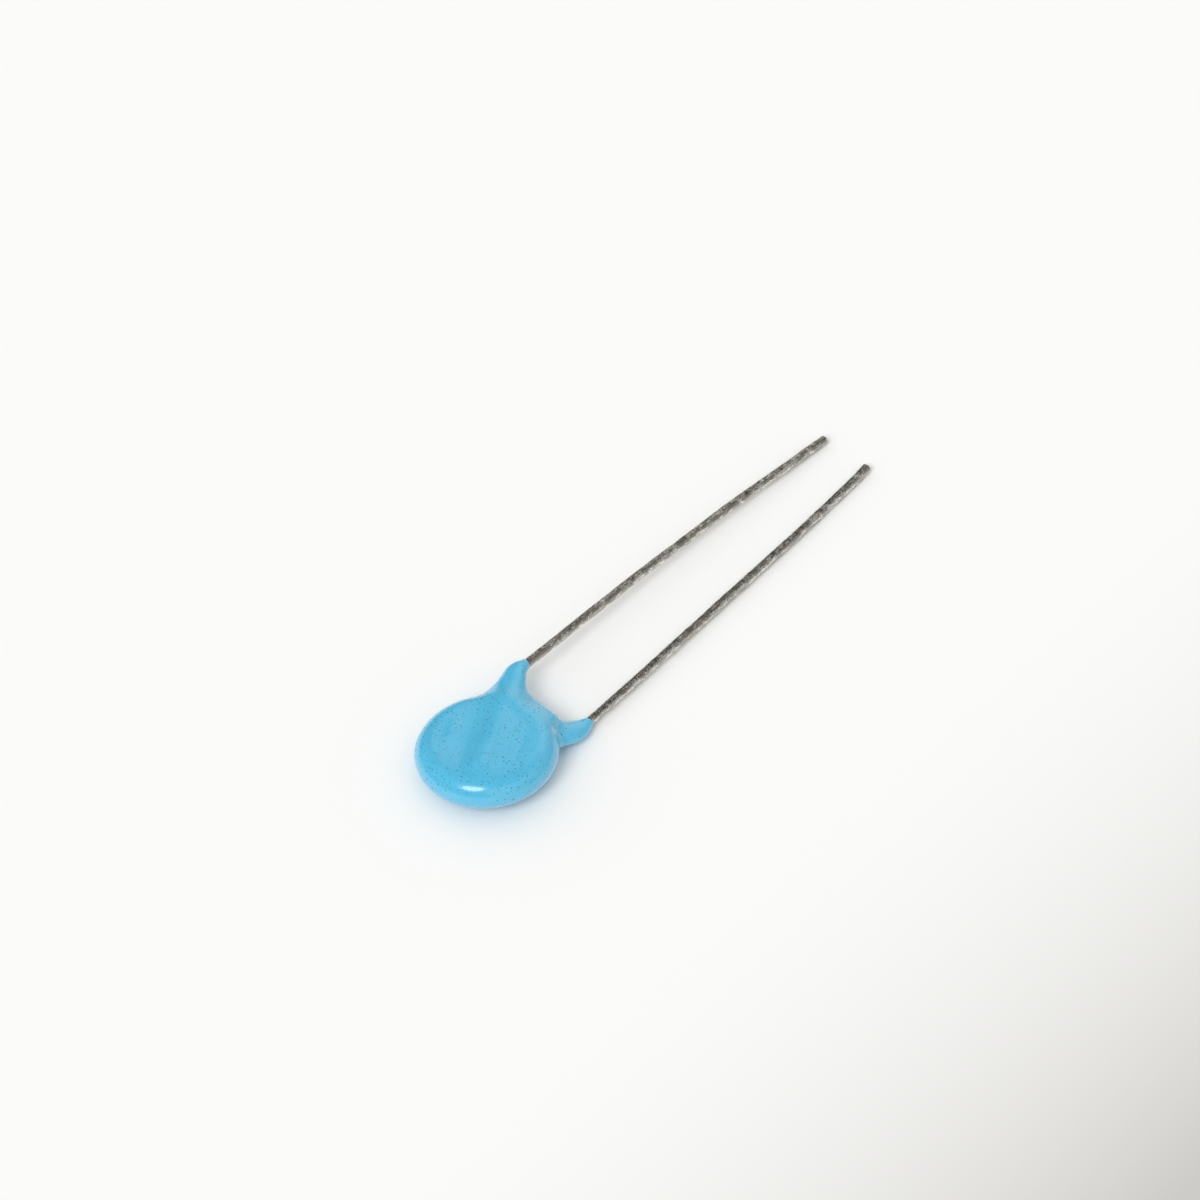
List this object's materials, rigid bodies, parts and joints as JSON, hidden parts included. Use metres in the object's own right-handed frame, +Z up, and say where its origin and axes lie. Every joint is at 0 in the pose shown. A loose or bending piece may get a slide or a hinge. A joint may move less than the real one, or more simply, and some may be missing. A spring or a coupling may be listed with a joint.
{
  "type": "varistor",
  "caption": "Disc varistor dipped in glossy blue epoxy, lying on its face, with long straight tinned leads for a circuit board.",
  "frame": {"origin": "on the surface that the part lies on, under the middle of the whole part, leads included", "axes": "+Y along the leads towards their free ends, +Z up from the surface"},
  "size_m": [0.012, 0.0515, 0.0042],
  "materials": {
    "epoxy": "glossy dip-coated epoxy, sky blue, with fine dark pits",
    "zinc_oxide": "matt sintered ceramic, dark grey",
    "silver": "matt fired silver",
    "solder": "satin tin solder",
    "tinned_wire": "hot-tinned wire, mottled grey"
  },
  "bodies": {
    "root": {"epoxy_coating": "epoxy", "ceramic_disc": "zinc_oxide", "top_electrode": "silver", "bottom_electrode": "silver", "top_solder": "solder", "bottom_solder": "solder", "top_lead": "tinned_wire", "bottom_lead": "tinned_wire"}
  },
  "joints": []
}
